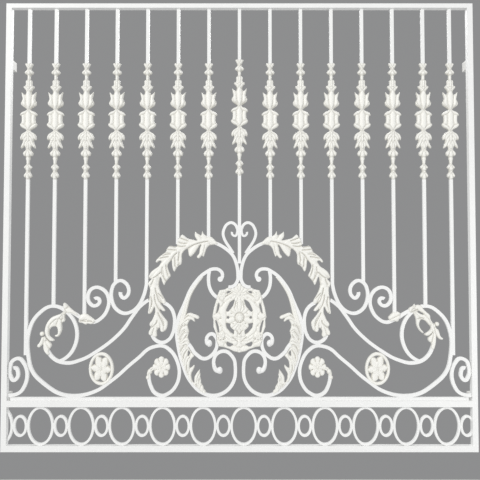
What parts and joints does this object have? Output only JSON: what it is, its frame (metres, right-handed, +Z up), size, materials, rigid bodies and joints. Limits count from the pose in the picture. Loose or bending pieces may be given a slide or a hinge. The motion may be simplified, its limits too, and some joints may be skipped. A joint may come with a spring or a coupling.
{
  "type": "window grille",
  "caption": "Wall-mounted window grille: upright bars with cast ornaments above a panel of scrolls, acanthus leaves and a medallion, over a frieze of oval rings, in a flat frame.",
  "frame": {"origin": "centre of the upper-left wall lug's flat back face, where it meets the wall", "axes": "+X along the wall to the right of a viewer who faces the grille, +Y into the wall, +Z up; the decorated front faces -Y"},
  "size_m": [1.707, 0.0655, 1.625],
  "materials": {
    "painted_frame_tube": "satin white paint",
    "painted_bar": "satin white paint",
    "painted_castings": "creamy white paint, slightly rough",
    "painted_lugs": "satin white paint"
  },
  "bodies": {
    "root": {"arch_bars": "painted_bar", "arch_leaf_left": "painted_castings", "arch_leaf_right": "painted_castings", "bottom_rail": "painted_frame_tube", "buds": "painted_castings", "crown_leaves": "painted_castings", "drop_scrolls": "painted_bar", "edge_scrolls": "painted_bar", "flowers": "painted_castings", "heart_scrolls": "painted_bar", "leaf_scrolls": "painted_bar", "left_stile": "painted_frame_tube", "link_scrolls": "painted_bar", "long_scroll_left": "painted_bar", "long_scroll_right": "painted_bar", "lyre_leaves": "painted_castings", "lyre_scroll_left": "painted_bar", "lyre_scroll_right": "painted_bar", "medallion": "painted_castings", "mid_rail": "painted_frame_tube", "ornaments_left": "painted_castings", "ornaments_middle": "painted_castings", "ornaments_right": "painted_castings", "outer_scroll_left": "painted_bar", "outer_scroll_right": "painted_bar", "panel_bar": "painted_bar", "right_stile": "painted_frame_tube", "ring_frieze": "painted_bar", "rosettes": "painted_castings", "sheaths": "painted_castings", "tie_scrolls": "painted_bar", "top_rail": "painted_frame_tube", "upright_01": "painted_bar", "upright_02": "painted_bar", "upright_03": "painted_bar", "upright_04": "painted_bar", "upright_05": "painted_bar", "upright_06": "painted_bar", "upright_07": "painted_bar", "upright_08": "painted_bar", "upright_09": "painted_bar", "upright_10": "painted_bar", "upright_11": "painted_bar", "upright_12": "painted_bar", "upright_13": "painted_bar", "upright_14": "painted_bar", "upright_15": "painted_bar", "wall_lugs": "painted_lugs"}
  },
  "joints": []
}
